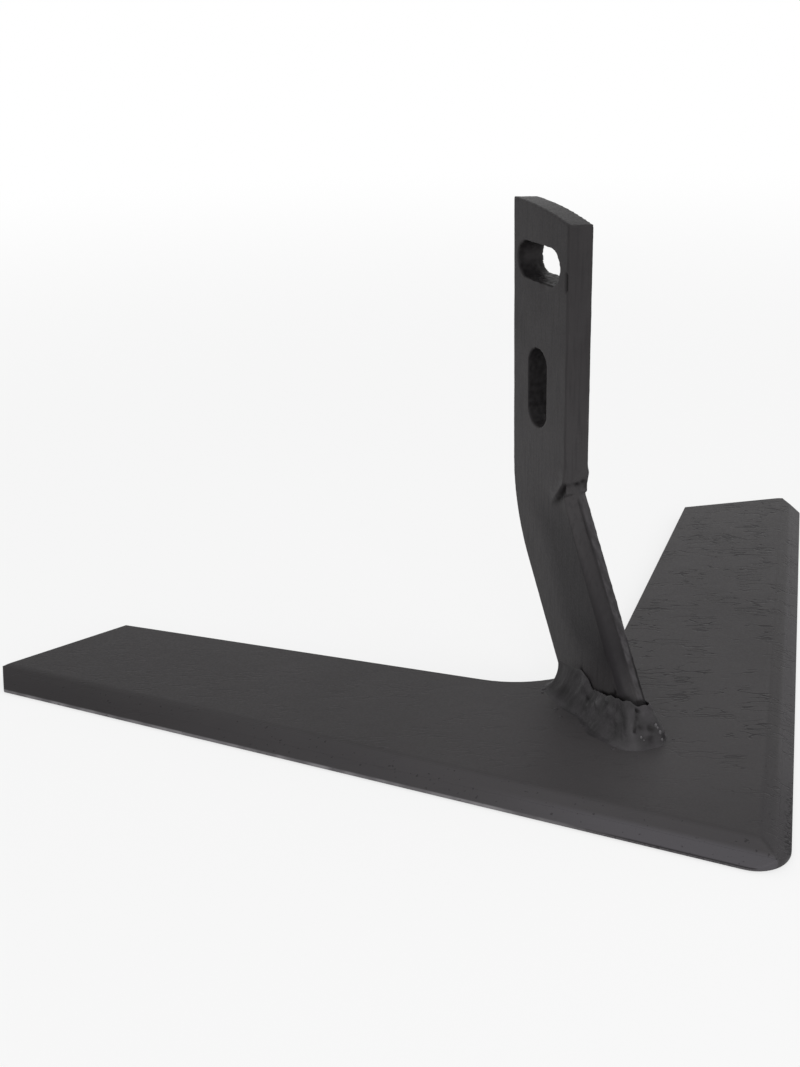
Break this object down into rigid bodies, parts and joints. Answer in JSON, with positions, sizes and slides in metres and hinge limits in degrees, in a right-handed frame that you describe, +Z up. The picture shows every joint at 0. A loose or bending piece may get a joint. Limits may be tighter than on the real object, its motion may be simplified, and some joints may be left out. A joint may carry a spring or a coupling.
{
  "type": "cultivator wing share",
  "caption": "Flat V-shaped hoe blade with bevelled leading edges and a bent flat-bar shank, slotted for bolts, welded upright on its middle.",
  "frame": {"origin": "on the floor under the middle of the part's bounding box, on the share's plane of symmetry", "axes": "+Z up, out of the flat blade; -Y the way the share travels, towards its nose; X across the share, from wing tip to wing tip"},
  "size_m": [0.4, 0.2566, 0.1873],
  "materials": {
    "painted_blade": "satin black paint over rolled steel plate",
    "painted_shank": "satin black paint over rolled and bent flat bar",
    "painted_weld": "black paint over rough weld metal"
  },
  "bodies": {
    "root": {"blade": "painted_blade", "shank": "painted_shank", "weld": "painted_weld"}
  },
  "joints": []
}
